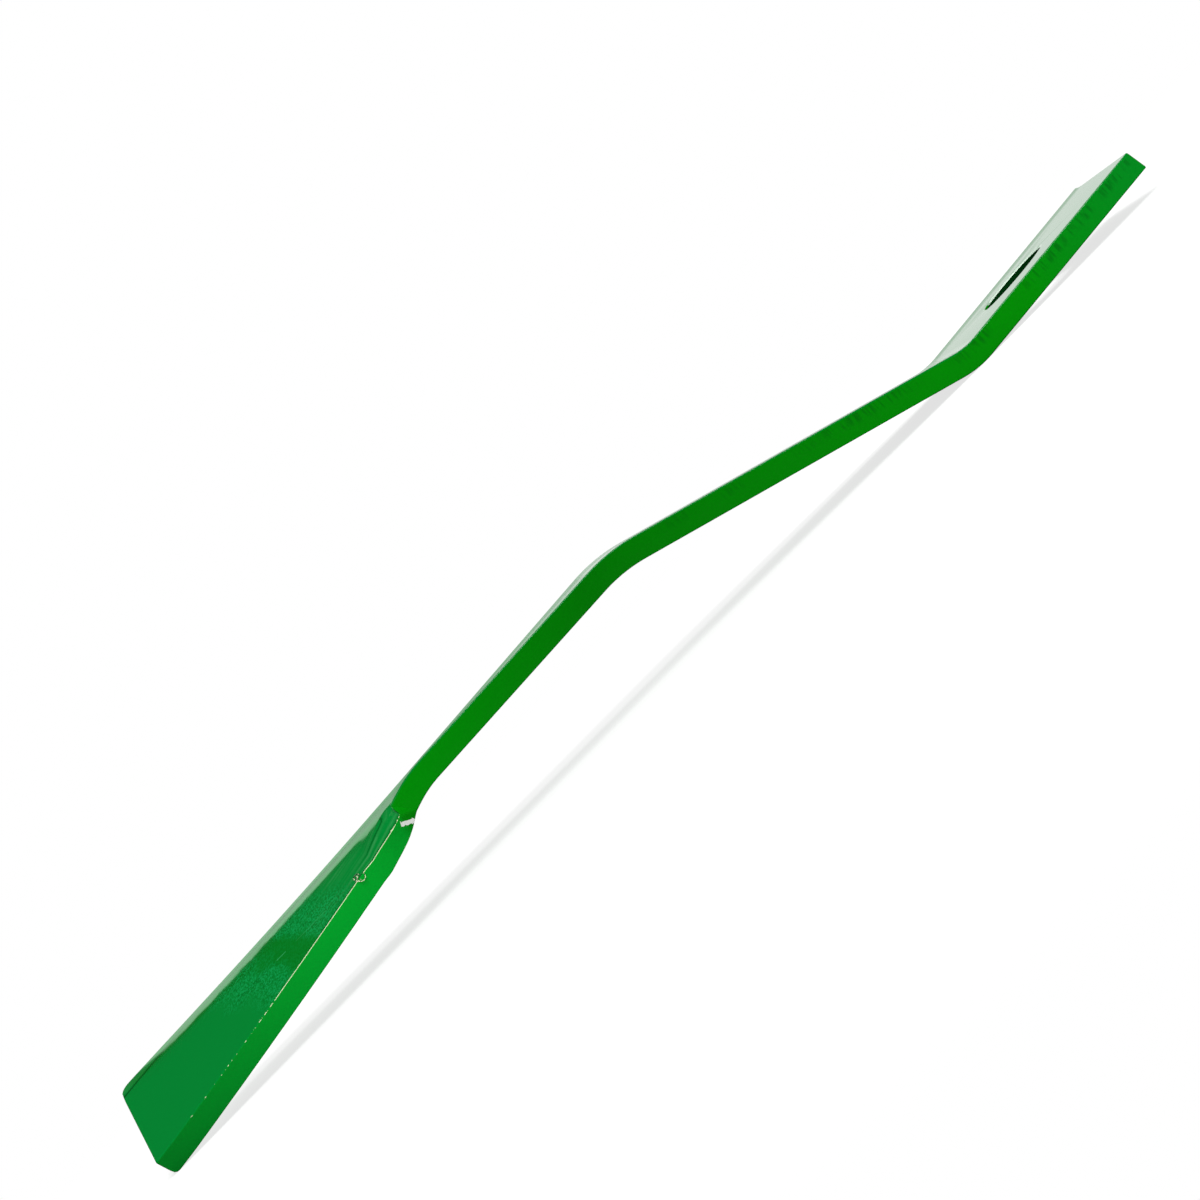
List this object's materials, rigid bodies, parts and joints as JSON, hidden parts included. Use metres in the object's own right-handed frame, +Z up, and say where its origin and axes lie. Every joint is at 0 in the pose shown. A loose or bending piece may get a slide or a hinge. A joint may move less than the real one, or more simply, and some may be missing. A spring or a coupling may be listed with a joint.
{
  "type": "rotary cutter blade",
  "caption": "Offset rotary cutter blade forged from a flat steel bar, with a bolt hole, a bevelled leading edge and a lift wing along the trailing edge, in green enamel",
  "frame": {"origin": "middle of the outer box, on the surface that the blade rests on", "axes": "+X along the blade towards the mounting end, +Y towards the leading edge, +Z up from the surface; the face that is the underside in use looks up"},
  "size_m": [0.7146, 0.1034, 0.0677],
  "materials": {
    "green_enamel": "gloss"
  },
  "bodies": {
    "root": {"blade": "green_enamel"}
  },
  "joints": []
}
